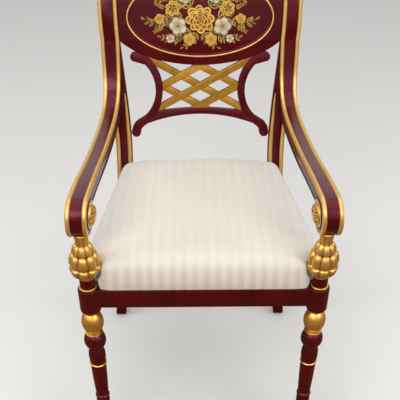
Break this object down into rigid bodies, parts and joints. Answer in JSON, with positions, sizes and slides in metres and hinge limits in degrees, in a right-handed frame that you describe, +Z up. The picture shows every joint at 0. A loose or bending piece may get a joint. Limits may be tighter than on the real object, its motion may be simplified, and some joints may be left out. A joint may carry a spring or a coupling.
{
  "type": "armchair",
  "caption": "Open armchair with scrolled arms, turned front legs, carved arm supports, an hourglass lattice splat under an oval crest tablet, and an upholstered seat.",
  "frame": {"origin": "centre of the chair's footprint box, on the floor", "axes": "+Z up, -Y is the front of the chair, +X to the right as seen from the front"},
  "size_m": [0.5436, 0.6164, 0.9417],
  "materials": {
    "maroon": "glossy dark maroon lacquer over wood",
    "gilt": "gold leaf over carved wood, satin to bright",
    "satin": "cream satin with a tone-on-tone stripe",
    "foam": "upholstery foam",
    "plywood": "bare plywood",
    "beech": "bare beech",
    "steel": "plated steel",
    "dust_cloth": "black dust cloth"
  },
  "bodies": {
    "root": {"left_rear_leg": "maroon", "right_rear_leg": "maroon", "left_front_leg": "maroon", "right_front_leg": "maroon", "left_arm": "maroon", "right_arm": "maroon", "crest_tablet": "maroon", "left_splat_upright": "maroon", "right_splat_upright": "maroon", "splat_lower_rail": "maroon", "front_rail": "maroon", "rear_rail": "maroon", "left_rail": "maroon", "right_rail": "maroon", "left_arm_support": "gilt", "right_arm_support": "gilt", "left_inner_rosette": "gilt", "left_outer_rosette": "gilt", "right_inner_rosette": "gilt", "right_outer_rosette": "gilt", "lattice_rising_bar_lower": "gilt", "lattice_rising_bar_middle": "gilt", "lattice_rising_bar_upper": "gilt", "lattice_falling_bar_lower": "gilt", "lattice_falling_bar_middle": "gilt", "lattice_falling_bar_upper": "gilt", "seat_cover": "satin", "seat_foam": "foam", "seat_board": "plywood", "front_left_block": "beech", "front_right_block": "beech", "rear_left_block": "beech", "rear_right_block": "beech", "left_foot_dowel": "beech", "left_ear_dowel": "beech", "right_foot_dowel": "beech", "right_ear_dowel": "beech", "front_left_seat_screw": "steel", "front_right_seat_screw": "steel", "rear_left_seat_screw": "steel", "rear_right_seat_screw": "steel", "left_arm_screw": "steel", "right_arm_screw": "steel", "left_front_glide": "steel", "left_rear_glide": "steel", "right_front_glide": "steel", "right_rear_glide": "steel", "dust_cover": "dust_cloth"}
  },
  "joints": []
}
